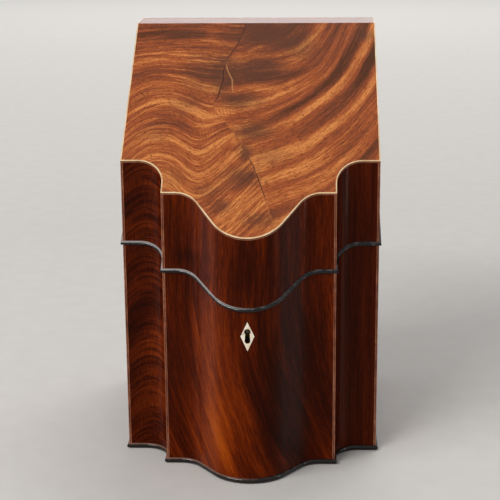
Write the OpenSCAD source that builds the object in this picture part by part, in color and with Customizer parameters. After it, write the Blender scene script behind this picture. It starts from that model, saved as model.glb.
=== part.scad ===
// Antique serpentine knife box: a shaped case, a sloping lid on two butt hinges, a box lock and a
// slotted board for knives, forks and spoons. Millimetres, +Z up, front towards -Y.

/* [Box] */
// Width across the two sides
box_w = 230; // [216:1:250]
// Depth of a side, from the front corners to the back
side_d = 203.5; // [190:0.5:230]
// Height of the joint between case and lid at the front corners
joint_h = 197.8; // [180:0.1:215]
// Slope of that joint, rising to the back, in degrees
joint_slope = 26.8; // [22:0.1:30]
// Height of the lid's top at the front corners
top_h = 274.6; // [262:0.1:300]
// Slope of the lid's top, rising to the back, in degrees
top_slope = 33.5; // [28:0.1:38]
// Depth of the level strip at the back of the top
level_d = 48; // [30:1:80]

/* [Front outline] */
// Width of the serpentine centre from cusp to cusp
centre_w = 152.8; // [146:0.1:160]
// Distance of the cusps in front of the corners
cusp_out = 32.4; // [30:0.1:36]
// Distance of the middle of the bow in front of the corners
bow_out = 76.2; // [73:0.1:80]
// Radius of the hollow quarter round between a corner and a cusp
cove_r = 23; // [20:0.5:26]
// Radius of the bow
bow_r = 38; // [36:0.5:40]
// Radius of the hollow on each side of the bow
hollow_r = 24; // [20:0.5:26]
// Straight stretch beside each cusp
cusp_flat = 12.4; // [12:0.1:16]

/* [Boards] */
// Thickness of the shaped front and of the corner blocks
front_t = 9.5; // [8:0.1:10.5]
// Thickness of the front behind the middle of the bow, where the lock is let in
bow_t = 22; // [21:0.1:24]
// Thickness of the sides
side_t = 9; // [7:0.5:12]
// Thickness of the back
back_t = 12; // [11:0.5:15]
// Thickness of the base board
base_t = 10; // [6:0.5:14]
// Thickness of the lid's top boards
top_t = 9; // [6:0.5:12]
// Gap between the rims of case and lid
rim_gap = 0.4; // [0.3:0.05:0.8]

/* [Trim] */
// Width of the line round the top, and depth of all lines
string_w = 1.4; // [1:0.1:2]
// Width of the lines let into the vertical arrises, boxwood on both sides of a dark one
line_w = 3; // [2:0.1:4]
// Height of the black bead along the lid's lower edge
bead_h = 3.2; // [2:0.1:4]
// How far the beads stand proud
bead_out = 2; // [1:0.1:3]
// Height of the bead round the base
base_bead_h = 4.6; // [3:0.1:6]
// Height of the base bead above the table
base_bead_lift = 0.4; // [0.3:0.1:1]

/* [Escutcheon and keyhole] */
// Width of the bone diamond
diamond_w = 12.2; // [11:0.1:16]
// Height of the bone diamond
diamond_h = 26.7; // [24:0.1:34]
// Thickness of the bone diamond
diamond_t = 1.8; // [1:0.1:3]
// Height of the keyhole's centre above the middle of the diamond
keyhole_rise = 4; // [2:0.1:5]
// Height of the joint above the keyhole's centre, at the middle of the bow
keyhole_drop = 18.2; // [17:0.1:19]
// Radius of the keyhole's round part
keyhole_r = 3; // [2.8:0.1:3.3]
// Width of the keyhole's slot
keyhole_w = 4.6; // [4.4:0.1:5]
// Length of the slot below the keyhole's centre
keyhole_l = 10.5; // [9:0.1:12]

/* [Hinges] */
// Distance from a side of the box to the middle of the hinge next to it
hinge_end = 45; // [38:1:60]
// Length of a hinge
hinge_len = 38; // [30:1:45]
// Distance of the hinge axis in front of the back face
hinge_in = 3; // [2.9:0.1:3.5]
// Width of a leaf from the hinge axis
leaf_w = 9; // [8:0.1:9.4]
// Thickness of a leaf
leaf_t = 1.6; // [1.2:0.1:2]
// Radius of the barrel
barrel_r = 2.6; // [2.2:0.1:2.8]
// Radius of the hinge pin
pin_r = 1.05; // [0.8:0.05:1.2]
// Number of knuckles in a hinge
knuckles = 5; // [3:2:7]
// Angle at which the lid stands open, in degrees
lid_open = 115; // [100:1:118]

/* [Lock] */
// Width of the lock's case
lock_w = 39; // [39:0.5:41]
// Depth of the lock's case
lock_d = 11.5; // [11:0.1:12]
// Wall of the lock's case
lock_wall = 1.2; // [0.8:0.1:1.4]
// Thickness of the lock's back plate and of its top plate
plate_t = 1.6; // [1.2:0.1:1.8]
// Width of the lock's back plate and of its top plate
plate_w = 46; // [45.5:0.5:47]
// Length of the lock's case below the keyhole's centre
lock_below = 15; // [13:0.5:18]
// Travel of the bolt when the key is turned
bolt_throw = 4; // [3:0.1:4.2]
// Thickness of the bolt
bolt_t = 2; // [1.6:0.1:2.4]
// Distance of a hook from the middle of the lock
hook_x = 10; // [9.8:0.1:10.2]
// Thickness of a hook
hook_t = 2; // [1.4:0.1:2.2]
// Length of a hook below the joint
hook_l = 8.2; // [7.8:0.1:8.6]
// Distance of the hooks in front of the inner face of the front
hook_in = 8.8; // [8.6:0.1:9]

/* [Slotted board] */
// Depth of the board's face below the rim
board_drop = 12; // [8:0.5:20]
// Thickness of the board
board_t = 8; // [5:0.5:12]
// Width and length of a fork slot
fork_slot = [9, 13];
// Distance between fork slots
fork_pitch = 16; // [14:0.5:17]
// Width and length of a knife slot
knife_slot = [6, 28];
// Distance between knife slots
knife_pitch = 32; // [22:1:34]
// Width and length of the spoon slot
spoon_slot = [150, 22];
// Depth of each of the two strips that take forks
fork_strip_d = 34; // [32:0.5:38]
// Depth of each of the two strips that take knives
knife_strip_d = 50; // [44:0.5:52]
// Width of the fillets that carry the board
fillet_w = 8; // [5:0.5:10]

/* [Hidden] */
$fn = 48;
left = -1;
right = 1;
down = -1;
up = 1;
// Angle between the points on a curved stretch of the outline
arc_step = 5;
// Larger than the box, for cutting shapes
reach = 500;
// Clearance round a fitted metal piece, and of a piece of board in its place
fit_gap = 0.1;
board_gap = 0.3;
// Clearance between a pin and a bore that turns on it
turn_gap = 0.07;
// Clearance round a knuckle, and play between neighbouring knuckles
barrel_gap = 0.3;
knuckle_gap = 0.2;
// Angle left between the chamfers of case and lid when the lid stands open
stop_play = 1;

// Places in the plan, measured from the plane of the two front corners
room_x = box_w / 2 - side_t;
room_back_y = side_d - back_t;
room_front_y = bow_t - bow_out;
cusp_x = centre_w / 2;
hollow_x = cusp_x - cusp_flat;
hinge_y = side_d - hinge_in;
hook_y = room_front_y - hook_in;
crease_y = side_d - level_d;
// The frame's origin is below the middle of the whole box, beads included
corner_y = (bow_out + bead_out - side_d) / 2;

// The straight stretch of the serpentine touches both arcs at this angle
arcs_r = bow_r + hollow_r;
arcs_dy = bow_out - cusp_out - arcs_r;
wave_angle = atan2(arcs_dy, hollow_x) + asin(arcs_r / norm([hollow_x, arcs_dy]));

// Heights
half_gap = rim_gap / 2;
rim_drop = half_gap / cos(joint_slope);
back_h = top_h + crease_y * tan(top_slope);
keyhole_z = joint_z(-bow_out) - keyhole_drop;
stop_half = (lid_open + stop_play) / 2;

// Height of the joint and of the lid's top at a depth y
function joint_z(y) = joint_h + y * tan(joint_slope);
function top_z(y) = top_h + min(y, crease_y) * tan(top_slope);

// Points on an arc, ends included
function arc(cx, cy, r, from, to) =
  let (n = ceil(abs(to - from) / arc_step))
  [for (i = [0:n]) let (a = from + (to - from) * i / n) [cx + r * cos(a), cy + r * sin(a)]];

// Right half of the front, from the middle of the bow to the corner, d inside the outer face
function front_half(d, ds) = concat(
  arc(0, bow_r - bow_out, bow_r - d, -90, wave_angle - 90),
  arc(hollow_x, -cusp_out - hollow_r, hollow_r + d, wave_angle + 90, 90),
  [[cusp_x - d, d - cusp_out]],
  arc(cusp_x + cove_r, -cove_r, cove_r + d, 180, 90),
  [[box_w / 2 - ds, d]]
);

// The box's outline from the left back corner round the front to the right back corner
function outline(d, ds, db) =
  let (half = front_half(d, ds), last = len(half) - 1)
  concat(
    [[ds - box_w / 2, side_d - db]],
    [for (i = [last:-1:1]) [-half[i][0], half[i][1]]],
    half,
    [[box_w / 2 - ds, side_d - db]]
  );

// Moves a piece from the corner plane to the part's frame
module in_frame() translate([0, corner_y, 0]) children();

// Local frame on the joint at depth y: +Y up the slope to the back, +Z square to the joint
module on_joint(y) translate([0, y, joint_z(y)]) rotate([joint_slope, 0, 0]) children();

// A plan shape raised through the whole height
module raised() linear_extrude(height = reach) children();

// A side-view shape, drawn as depth and height, run through the whole width
module across() rotate([90, 0, 90]) linear_extrude(height = reach, center = true) children();

module full_plan() polygon(outline(0, 0, 0));

// The room inside the walls, drawn in by gap
module room_plan(gap) intersection() {
  polygon(outline(front_t + gap, side_t + gap, back_t + gap));
  translate([-box_w / 2, room_front_y + gap]) square([box_w, side_d + bow_out]);
}

module front_plan() difference() {
  intersection() {
    full_plan();
    translate([-cusp_x, -bow_out]) square([centre_w, bow_out - cusp_out + front_t]);
  }
  room_plan(0);
}

module corner_plan(side) difference() {
  intersection() {
    full_plan();
    scale([side, 1]) translate([cusp_x - front_t, front_t - cusp_out]) square([box_w, cusp_out]);
  }
  room_plan(0);
}

module side_plan(side) scale([side, 1]) translate([room_x, front_t])
  square([side_t, room_back_y - front_t]);

module back_plan() translate([-box_w / 2, room_back_y]) square([box_w, back_t]);

// Lines in the vertical arrises: two corners and two cusps
module string_plan() for (side = [left, right]) scale([side, 1]) {
  translate([box_w / 2 - line_w, 0]) square([line_w, string_w]);
  translate([cusp_x - line_w, -cusp_out]) square([line_w, string_w]);
}

// Room below the joint, for the case
module case_side_view() polygon([
  [-reach, 0], [reach, 0],
  [reach, joint_z(reach) - rim_drop], [-reach, joint_z(-reach) - rim_drop]
]);

// Room between the joint and a face at depth t under the lid's top
module lid_side_view(t) polygon([
  [-bow_out, joint_z(-bow_out) + rim_drop], [side_d, joint_z(side_d) + rim_drop],
  [side_d, back_h - t], [crease_y + t * tan(top_slope / 2), back_h - t],
  [-bow_out, top_z(-bow_out) - t / cos(top_slope)]
]);

// Sloping and level parts of a layer t thick under the lid's top
module slope_side_view(t) polygon([
  [-bow_out, top_z(-bow_out)], [crease_y, back_h],
  [crease_y + t * tan(top_slope / 2), back_h - t],
  [-bow_out, top_z(-bow_out) - t / cos(top_slope)]
]);
module level_side_view(t) polygon([
  [crease_y, back_h], [side_d, back_h], [side_d, back_h - t],
  [crease_y + t * tan(top_slope / 2), back_h - t]
]);

// Chamfer behind the hinge axis, running down on the case and up on the lid. The two chamfers
// meet when the lid stands open, and stop it.
module stop_cut(turn) translate([0, hinge_y, joint_z(hinge_y)]) across() polygon([
  [0, 0], [reach * cos(stop_half), turn * reach * sin(stop_half)],
  [reach, -turn * reach], [0, -turn * reach]
]);

// Countersunk screw, head up at the origin
screw_r = 1;
screw_head_r = 1.9;
screw_head_h = 1;
screw_slot = 0.5;
module screw(length) difference() {
  union() {
    translate([0, 0, -screw_head_h]) cylinder(r1 = screw_r, r2 = screw_head_r, h = screw_head_h);
    translate([0, 0, -length]) cylinder(r = screw_r, h = length - screw_head_h);
  }
  translate([-screw_head_r, -screw_slot / 2, -screw_slot])
    cube([2 * screw_head_r, screw_slot, 2 * screw_slot]);
}
// Hole for it, of the same form and open at the head
module screw_hole(length) {
  translate([0, 0, -screw_head_h]) cylinder(r1 = screw_r, r2 = screw_head_r, h = screw_head_h);
  translate([0, 0, -length]) cylinder(r = screw_r, h = length);
  cylinder(r = screw_head_r, h = screw_head_h);
}

// Half-round bead along the outline, h high, that ends short of the back by short and whose lower
// edge is low above a plane of the given slope, which is base_z high at the corners
module bead(h, low, slope, base_z, short) {
  steps = 6;
  bulge = [for (i = [0:steps]) bead_out * cos(180 * i / steps - 90)];
  rise = [for (i = [0:steps]) h / 2 * (1 + sin(180 * i / steps - 90))];
  rows = steps + 1;
  paths = [for (o = bulge) outline(-o, -o, short)];
  count = len(paths[0]);
  points = [for (i = [0:count - 1]) for (j = [0:steps])
    let (p = paths[j][i]) [p[0], p[1], base_z + p[1] * tan(slope) + low + rise[j]]];
  sides = [for (i = [0:count - 2]) for (j = [0:steps])
    let (a = i * rows + j, b = i * rows + (j + 1) % rows, c = a + rows, d = b + rows)
    each [[a, c, b], [b, c, d]]];
  ends = [[for (j = [0:steps]) j], [for (j = [steps:-1:0]) (count - 1) * rows + j]];
  polyhedron(points, concat(sides, ends));
}

// Case

module base_board() color("#8a5a3a") in_frame()
  linear_extrude(height = base_t) room_plan(0);

module case_block() intersection() {
  raised() children();
  across() case_side_view();
}

module case_back() color("#6b2b16") in_frame() difference() {
  case_block() back_plan();
  stop_cut(down);
  for (side = [left, right]) hinge_place(side) {
    leaf_pocket();
    mirror([0, 0, 1]) leaf_screw_holes();
  }
}

module case_side(side) color("#6b2b16") in_frame() case_block() side_plan(side);
module case_side_left() case_side(left);
module case_side_right() case_side(right);

module case_corner(side) color("#7a3218") in_frame() case_block() difference() {
  corner_plan(side);
  string_plan();
}
module case_corner_left() case_corner(left);
module case_corner_right() case_corner(right);

module case_front() color("#73290f") in_frame() difference() {
  case_block() difference() {
    front_plan();
    string_plan();
  }
  escutcheon_solid();
  keyhole_solid(0);
  lock_mortise();
  lock_screw_places() screw_hole(lock_screw_l);
}

module case_strings() color("#d9b48a") in_frame() case_block() string_plan();

module base_bead() color("#20120c") in_frame() bead(base_bead_h, base_bead_lift, 0, 0, 0);

// The diamond follows the curve of the bow and lies flush in it
diamond_z = keyhole_z - keyhole_rise;
module escutcheon_solid() intersection() {
  translate([0, 0, diamond_z]) rotate([90, 0, 0]) linear_extrude(height = bow_out)
    polygon([[-diamond_w / 2, 0], [0, -diamond_h / 2], [diamond_w / 2, 0], [0, diamond_h / 2]]);
  raised() difference() {
    full_plan();
    polygon(outline(diamond_t, diamond_t, diamond_t));
  }
}

// Round hole and slot, opened by gap, from the front of the bow through the wall of the lock's case
module keyhole_solid(gap) translate([0, 0, keyhole_z]) rotate([90, 0, 0])
  translate([0, 0, -lock_front_y - 2 * lock_wall]) linear_extrude(height = bow_t) {
    circle(r = keyhole_r + gap);
    translate([-keyhole_w / 2 - gap, -keyhole_l - gap]) square([keyhole_w + 2 * gap, keyhole_l]);
  }

module escutcheon() color("#e6cfa6") in_frame() difference() {
  escutcheon_solid();
  keyhole_solid(0);
}

// Slotted board, in strips glued edge to edge

strip_y = [
  room_front_y + board_gap, room_front_y + fork_strip_d, room_front_y + 2 * fork_strip_d,
  room_front_y + 2 * fork_strip_d + knife_strip_d,
  room_front_y + 2 * fork_strip_d + 2 * knife_strip_d, room_back_y - board_gap
];

// Layer from low to high below the joint, measured upright
module under_joint(low, high) across() polygon([
  [-reach, joint_z(-reach) - low], [reach, joint_z(reach) - low],
  [reach, joint_z(reach) - high], [-reach, joint_z(-reach) - high]
]);

// Strip i of the board, with a row of count slots
module board_strip(i, slot, pitch, count) color("#8c4a22") in_frame() difference() {
  intersection() {
    raised() room_plan(board_gap);
    translate([-box_w / 2, strip_y[i], 0]) cube([box_w, strip_y[i + 1] - strip_y[i], reach]);
    under_joint(board_drop + board_t, board_drop);
  }
  for (k = [0:count - 1])
    translate([(k - (count - 1) / 2) * pitch, (strip_y[i] + strip_y[i + 1]) / 2, reach / 2])
      cube([slot[0], slot[1], reach], center = true);
}
module board_forks_front() board_strip(0, fork_slot, fork_pitch, 4);
module board_forks_rear() board_strip(1, fork_slot, fork_pitch, 8);
module board_knives_front() board_strip(2, knife_slot, knife_pitch, 6);
module board_knives_rear() board_strip(3, knife_slot, knife_pitch, 6);
module board_spoons() board_strip(4, spoon_slot, 0, 1);

// Fillets glued to the walls under the board: sides, back, and one behind each cusp
module board_fillets() color("#9a6b42") in_frame() intersection() {
  raised() intersection() {
    room_plan(0);
    union() {
      for (side = [left, right]) scale([side, 1]) {
        translate([room_x - fillet_w, front_t]) square([fillet_w, side_d]);
        translate([cusp_x - front_t - 2 * fillet_w, strip_y[1] - fillet_w])
          square([2 * fillet_w, 2 * fillet_w]);
      }
      translate([-room_x, room_back_y - fillet_w]) square([2 * room_x, fillet_w]);
    }
  }
  under_joint(board_drop + board_t + fillet_w, board_drop + board_t);
}

// Lock, let in behind the bow

lock_screw_l = 8;
lock_floor_z = keyhole_z - lock_below;
lock_front_y = room_front_y - plate_t - lock_d;
plate_edge = 3;
hook_w = 6.2;
slot_gap = 0.5;
// The bolt runs through the middle of the hooks' eyes
eye_v = -4.6;
eye_w = 3.8;
eye_h = 4.2;
bolt_y = hook_y - eye_v * sin(joint_slope);
bolt_z = joint_z(hook_y) + eye_v * cos(joint_slope);
prong_h = 2.6;
prong_gap = 0.5;
post_w = 2;
bolt_drop = 15.4;
bolt_bar_z = bolt_z - bolt_drop;
bolt_bar_h = 7;
bolt_bar_end = 9;
stump_x = [-9, 5];
stump_r = 1.2;
stump_head_r = 2.1;
stump_gap = 0.15;
drill_pin_r = 1.5;
drill_pin_back = 3;

// Half space under the lock's top plate
module under_top_plate() on_joint(hook_y)
  translate([-reach, -reach, -half_gap - plate_t - 2 * reach]) cube(2 * reach);

// Block of the lock's case, and the same opened by gap for its mortise
module lock_block(inset) intersection() {
  translate([inset - lock_w / 2, lock_front_y + inset, lock_floor_z + inset])
    cube([lock_w - 2 * inset, lock_d + plate_t, reach]);
  under_top_plate();
}

module lock_plate_block(gap) intersection() {
  translate([-plate_w / 2 - gap, room_front_y - plate_t - gap, lock_floor_z - plate_edge - gap])
    cube([plate_w + 2 * gap, plate_t + 2 * gap, reach]);
  under_top_plate();
}

module top_plate_block(gap) intersection() {
  on_joint(hook_y) translate([-plate_w / 2 - gap, -hook_w - gap, -half_gap - plate_t])
    cube([plate_w + 2 * gap, hook_w + 3 * hook_in, plate_t]);
  translate([-reach, -reach, 0]) cube([2 * reach, reach + room_front_y, reach]);
}

module lock_mortise() {
  lock_block(-fit_gap);
  lock_plate_block(fit_gap);
  top_plate_block(fit_gap);
}

// The two hooks of the link plate, opened by gap
module hook_blocks(gap) on_joint(hook_y) for (side = [left, right])
  translate([side * hook_x - hook_t / 2 - gap, -hook_w / 2 - gap, -hook_l])
    cube([hook_t + 2 * gap, hook_w + 2 * gap, hook_l + half_gap + plate_t]);

// Two screws through the top plate, and four through the back plate
lock_screw_edge = 1.7;
module lock_screw_places() {
  on_joint(hook_y) for (side = [left, right])
    translate([side * (plate_w / 2 - lock_screw_edge), 0, -half_gap]) children();
  for (side = [left, right]) for (z = [lock_floor_z, bolt_bar_z])
    translate([side * (plate_w / 2 - lock_screw_edge), room_front_y, z]) rotate([-90, 0, 0])
      children();
}

module lock_plate() color("#b08d45") in_frame() {
  difference() {
    lock_plate_block(0);
    lock_screw_places() screw_hole(lock_screw_l);
  }
  // Two stumps that carry the bolt between a shoulder and a head
  for (x = stump_x) translate([x, room_front_y - plate_t, bolt_bar_z + bolt_bar_h / 2])
    rotate([90, 0, 0]) {
      shoulder = room_front_y - plate_t - bolt_y - bolt_t / 2 - stump_gap / 2;
      cylinder(r = stump_head_r, h = shoulder);
      cylinder(r = stump_r, h = shoulder + bolt_t + stump_gap + post_w / 2);
      translate([0, 0, shoulder + bolt_t + stump_gap]) cylinder(r = stump_head_r, h = post_w / 2);
    }
}

module lock_case() color("#8d8a82") in_frame() difference() {
  intersection() {
    lock_block(0);
    translate([-reach, -reach, 0]) cube([2 * reach, reach + room_front_y - plate_t, reach]);
  }
  lock_block(lock_wall);
  keyhole_solid(fit_gap);
}

module lock_top_plate() color("#b5903f") in_frame() difference() {
  top_plate_block(0);
  hook_blocks(slot_gap);
  lock_screw_places() screw_hole(lock_screw_l);
}

module lock_pin() color("#8d8a82") in_frame()
  translate([0, room_front_y - plate_t, keyhole_z]) rotate([90, 0, 0])
    cylinder(r = drill_pin_r, h = bow_t - plate_t - drill_pin_back);

module lock_screws() color("#a98a45") in_frame() lock_screw_places() screw(lock_screw_l);

// Bar with two posts, each with a prong that enters the eye of a hook
module lock_bolt() color("#77736b") in_frame() translate([0, bolt_y + bolt_t / 2, 0])
  rotate([90, 0, 0]) linear_extrude(height = bolt_t) difference() {
    union() {
      for (x = [-hook_x, hook_x]) {
        tip = x - hook_t / 2 - prong_gap;
        translate([tip - bolt_throw - post_w, bolt_bar_z])
          square([post_w, bolt_z + prong_h / 2 - bolt_bar_z]);
        translate([tip - bolt_throw - post_w, bolt_z - prong_h / 2])
          square([bolt_throw + post_w, prong_h]);
      }
      bar_start = -hook_x - hook_t / 2 - prong_gap - bolt_throw - post_w;
      translate([bar_start, bolt_bar_z]) square([bolt_bar_end - bar_start, bolt_bar_h]);
    }
    for (x = stump_x) for (k = [0, bolt_throw])
      translate([x - k, bolt_bar_z + bolt_bar_h / 2]) circle(r = stump_r + stump_gap);
    for (x = stump_x) translate([x - bolt_throw, bolt_bar_z + bolt_bar_h / 2 - stump_r - stump_gap])
      square([bolt_throw, 2 * (stump_r + stump_gap)]);
    translate([(stump_x[0] + stump_x[1] - bolt_throw) / 2 - post_w, bolt_bar_z - post_w])
      square(2 * post_w);
  }

// Leaf spring from the wall of the lock's case to the underside of the bolt
spring_t = 0.5;
spring_w = 3;
spring_r = 9;
module lock_spring() color("#5f6a78") in_frame()
  translate([lock_wall - lock_w / 2 + spring_r, bolt_y, bolt_bar_z - stump_gap - spring_r])
    rotate([90, 0, 0]) intersection() {
      difference() {
        cylinder(r = spring_r, h = spring_w, center = true);
        cylinder(r = spring_r - spring_t, h = 2 * spring_w, center = true);
      }
      translate([-spring_r, 0, -spring_w]) cube([spring_r, spring_r, 2 * spring_w]);
    }

// Hinges, in pairs of leaves

module hinge_place(side) on_joint(hinge_y) translate([side * (box_w / 2 - hinge_end), 0, 0])
  children();

module along_axis(r, x, l) translate([x, 0, 0]) rotate([0, 90, 0]) cylinder(r = r, h = l);

// Room for both leaves and the barrel
module leaf_pocket() {
  pocket = hinge_len + 2 * fit_gap;
  along_axis(barrel_r + barrel_gap, -pocket / 2, pocket);
  translate([-pocket / 2, -leaf_w - fit_gap, -half_gap - leaf_t])
    cube([pocket, leaf_w + fit_gap, rim_gap + 2 * leaf_t]);
}

module leaf_screw_places() for (x = [-1, 0, 1])
  translate([x * 0.36 * hinge_len, -(leaf_w + barrel_r) / 2, half_gap]) mirror([0, 0, 1]) children();
leaf_screw_l = 6;
module leaf_screw_holes() leaf_screw_places() screw_hole(leaf_screw_l);

// Leaf above the joint, with the knuckles whose number is first, first + 2 and so on
module leaf(first, bore_r) {
  step = hinge_len / knuckles;
  difference() {
    union() {
      translate([-hinge_len / 2, -leaf_w, half_gap]) cube([hinge_len, leaf_w, leaf_t]);
      for (k = [first:2:knuckles - 1])
        along_axis(barrel_r, k * step - hinge_len / 2 + knuckle_gap / 2, step - knuckle_gap);
    }
    for (k = [1 - first:2:knuckles - 1])
      along_axis(barrel_r + barrel_gap, k * step - hinge_len / 2 - knuckle_gap / 2,
                 step + knuckle_gap);
    along_axis(bore_r, -hinge_len, 2 * hinge_len);
    leaf_screw_holes();
  }
}

module hinge_leaf_case(side) color("#b5903f") in_frame() hinge_place(side)
  mirror([0, 0, 1]) leaf(0, pin_r);
module hinge_leaf_case_left() hinge_leaf_case(left);
module hinge_leaf_case_right() hinge_leaf_case(right);

module hinge_leaf_lid(side) color("#b5903f") in_frame() hinge_place(side) leaf(1, pin_r + turn_gap);
module hinge_leaf_lid_left() hinge_leaf_lid(left);
module hinge_leaf_lid_right() hinge_leaf_lid(right);

module hinge_pins() color("#8d8a82") in_frame() for (side = [left, right]) hinge_place(side)
  along_axis(pin_r, -hinge_len / 2, hinge_len);

module hinge_screws_case() color("#a98a45") in_frame() for (side = [left, right])
  hinge_place(side) mirror([0, 0, 1]) leaf_screw_places() screw(leaf_screw_l);
module hinge_screws_lid() color("#a98a45") in_frame() for (side = [left, right])
  hinge_place(side) leaf_screw_places() screw(leaf_screw_l);

// Lid

module lid_block() intersection() {
  raised() children();
  across() lid_side_view(top_t);
}

module lid_front() color("#73290f") in_frame() difference() {
  lid_block() difference() {
    front_plan();
    string_plan();
  }
  link_plate_block(fit_gap);
  link_screw_places() screw_hole(link_screw_l);
}

module lid_corner(side) color("#7a3218") in_frame() lid_block() difference() {
  corner_plan(side);
  string_plan();
}
module lid_corner_left() lid_corner(left);
module lid_corner_right() lid_corner(right);

module lid_side(side) color("#6b2b16") in_frame() lid_block() side_plan(side);
module lid_side_left() lid_side(left);
module lid_side_right() lid_side(right);

module lid_back() color("#6b2b16") in_frame() difference() {
  lid_block() back_plan();
  stop_cut(up);
  for (side = [left, right]) hinge_place(side) {
    leaf_pocket();
    leaf_screw_holes();
  }
}

// Line round the edge of the top
module top_string_ring() raised() difference() {
  full_plan();
  polygon(outline(string_w, string_w, string_w));
}

module lid_top() color("#b0652c") in_frame() difference() {
  intersection() {
    raised() difference() {
      full_plan();
      string_plan();
    }
    across() slope_side_view(top_t);
  }
  lid_top_string_solid();
}

module lid_level() color("#a55c2a") in_frame() difference() {
  intersection() {
    raised() full_plan();
    across() level_side_view(top_t);
  }
  lid_top_string_solid();
}

module lid_top_string_solid() intersection() {
  top_string_ring();
  across() {
    slope_side_view(string_w);
    level_side_view(string_w);
  }
}
module lid_top_strings() color("#e3c79b") in_frame() lid_top_string_solid();

module lid_corner_strings() color("#d9b48a") in_frame() intersection() {
  raised() string_plan();
  across() lid_side_view(string_w);
}

module lid_bead() color("#120b09") in_frame()
  bead(bead_h, rim_drop, joint_slope, joint_h, hinge_in);

// Brass plate in the lid's rim with two hooks that drop into the lock
link_w = 36;
link_d = 12;
link_screw_x = 15;
link_screw_l = 7;
module link_plate_block(gap) on_joint(hook_y)
  translate([-link_w / 2 - gap, -link_d / 2 - gap, half_gap])
    cube([link_w + 2 * gap, link_d + 2 * gap, plate_t]);

module link_screw_places() on_joint(hook_y) for (side = [left, right])
  translate([side * link_screw_x, 0, half_gap]) mirror([0, 0, 1]) children();

module link_plate() color("#b5903f") in_frame() difference() {
  union() {
    link_plate_block(0);
    hook_blocks(0);
  }
  link_screw_places() screw_hole(link_screw_l);
  on_joint(hook_y) translate([0, 0, eye_v]) cube([reach, eye_w, eye_h], center = true);
}

module link_screws() color("#a98a45") in_frame() link_screw_places() screw(link_screw_l);

base_board();
case_back();
case_side_left();
case_side_right();
case_corner_left();
case_corner_right();
case_front();
case_strings();
base_bead();
escutcheon();
board_forks_front();
board_forks_rear();
board_knives_front();
board_knives_rear();
board_spoons();
board_fillets();
lock_plate();
lock_case();
lock_top_plate();
lock_pin();
lock_spring();
lock_screws();
lock_bolt();
hinge_leaf_case_left();
hinge_leaf_case_right();
hinge_pins();
hinge_screws_case();
lid_front();
lid_corner_left();
lid_corner_right();
lid_side_left();
lid_side_right();
lid_back();
lid_top();
lid_level();
lid_top_strings();
lid_corner_strings();
lid_bead();
link_plate();
link_screws();
hinge_leaf_lid_left();
hinge_leaf_lid_right();
hinge_screws_lid();
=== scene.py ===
"""Antique serpentine knife box in mahogany: its looks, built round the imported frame.

Metres, +Z up, front towards -Y. The sizes below are in millimetres times mm.
"""

import math

import bmesh
import bpy
from mathutils import Matrix, Vector


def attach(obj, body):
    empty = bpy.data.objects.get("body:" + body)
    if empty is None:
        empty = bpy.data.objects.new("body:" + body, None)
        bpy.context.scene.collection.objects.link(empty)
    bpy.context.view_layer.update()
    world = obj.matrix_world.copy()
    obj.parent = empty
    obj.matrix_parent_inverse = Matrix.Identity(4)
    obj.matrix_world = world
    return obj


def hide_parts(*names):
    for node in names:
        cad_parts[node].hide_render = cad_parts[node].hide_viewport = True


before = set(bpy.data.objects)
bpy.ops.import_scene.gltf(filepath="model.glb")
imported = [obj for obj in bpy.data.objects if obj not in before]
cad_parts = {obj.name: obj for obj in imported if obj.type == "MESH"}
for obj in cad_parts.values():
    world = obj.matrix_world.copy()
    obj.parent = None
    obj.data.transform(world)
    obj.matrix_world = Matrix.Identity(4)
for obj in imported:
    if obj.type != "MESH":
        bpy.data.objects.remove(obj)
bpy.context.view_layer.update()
mm = 0.001

# Camera. It stands in front of the box, a little to the right and above, and looks down on the
# sloping lid. The lens is long, so the upright lines hardly run together.
camera = bpy.data.objects.new("camera", bpy.data.cameras.new("camera"))
bpy.context.scene.collection.objects.link(camera)
bpy.context.scene.camera = camera
camera.data.lens = 102.69
camera.data.sensor_width = 36
camera_yaw = -0.0443
camera_pitch = 0.2726
camera_roll = -0.0081
camera.matrix_world = (
    Matrix.Translation(Vector((54.08, -1295.02, 537.81)) * mm)
    @ Matrix.Rotation(-camera_yaw, 4, "Z")
    @ Matrix.Rotation(math.pi / 2 - camera_pitch, 4, "X")
    @ Matrix.Rotation(camera_roll, 4, "Z")
)
bpy.context.scene.view_settings.view_transform = "Standard"

# Floor. A plain pale sheet under the box, with the light on it as soft as in a studio: a pale
# sky all round, a large window at the left and in front, and a lamp above and behind.
def tone(code):
    """A colour written as six hex digits, as the shaders take it."""
    parts = [int(code[i : i + 2], 16) / 255 for i in (0, 2, 4)]
    return [p / 12.92 if p <= 0.04045 else ((p + 0.055) / 1.055) ** 2.4 for p in parts] + [1]


def add(tree, kind, settings=(), **sockets):
    """A node of this kind. Each socket takes a number, a colour or another node's output."""
    made = tree.nodes.new("ShaderNode" + kind)
    for name, value in dict(settings).items():
        setattr(made, name, value)
    for name, value in sockets.items():
        socket = made.inputs[int(name[1:]) if name[0] == "_" else name.replace("_", " ")]
        if isinstance(value, bpy.types.NodeSocket):
            tree.links.new(value, socket)
        else:
            socket.default_value = value
    return made


def new_finish(name, roughness, coat=0.0, coat_roughness=0.05, metallic=0.0):
    """A material, its nodes and shader, and the place on the object. The coat is the polish."""
    material = bpy.data.materials.new(name)
    material.use_nodes = True
    shader = material.node_tree.nodes["Principled BSDF"]
    shader.inputs["Roughness"].default_value = roughness
    shader.inputs["Metallic"].default_value = metallic
    shader.inputs["Coat Weight"].default_value = coat
    shader.inputs["Coat Roughness"].default_value = coat_roughness
    at = add(material.node_tree, "TexCoord").outputs["Object"]
    return material, material.node_tree, shader, at


def join(tree, output, shader, socket):
    tree.links.new(output, shader.inputs[socket])


def calc(tree, operation, first, second=0.0, third=0.0):
    return add(tree, "Math", {"operation": operation}, _0=first, _1=second, _2=third).outputs[0]


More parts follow.
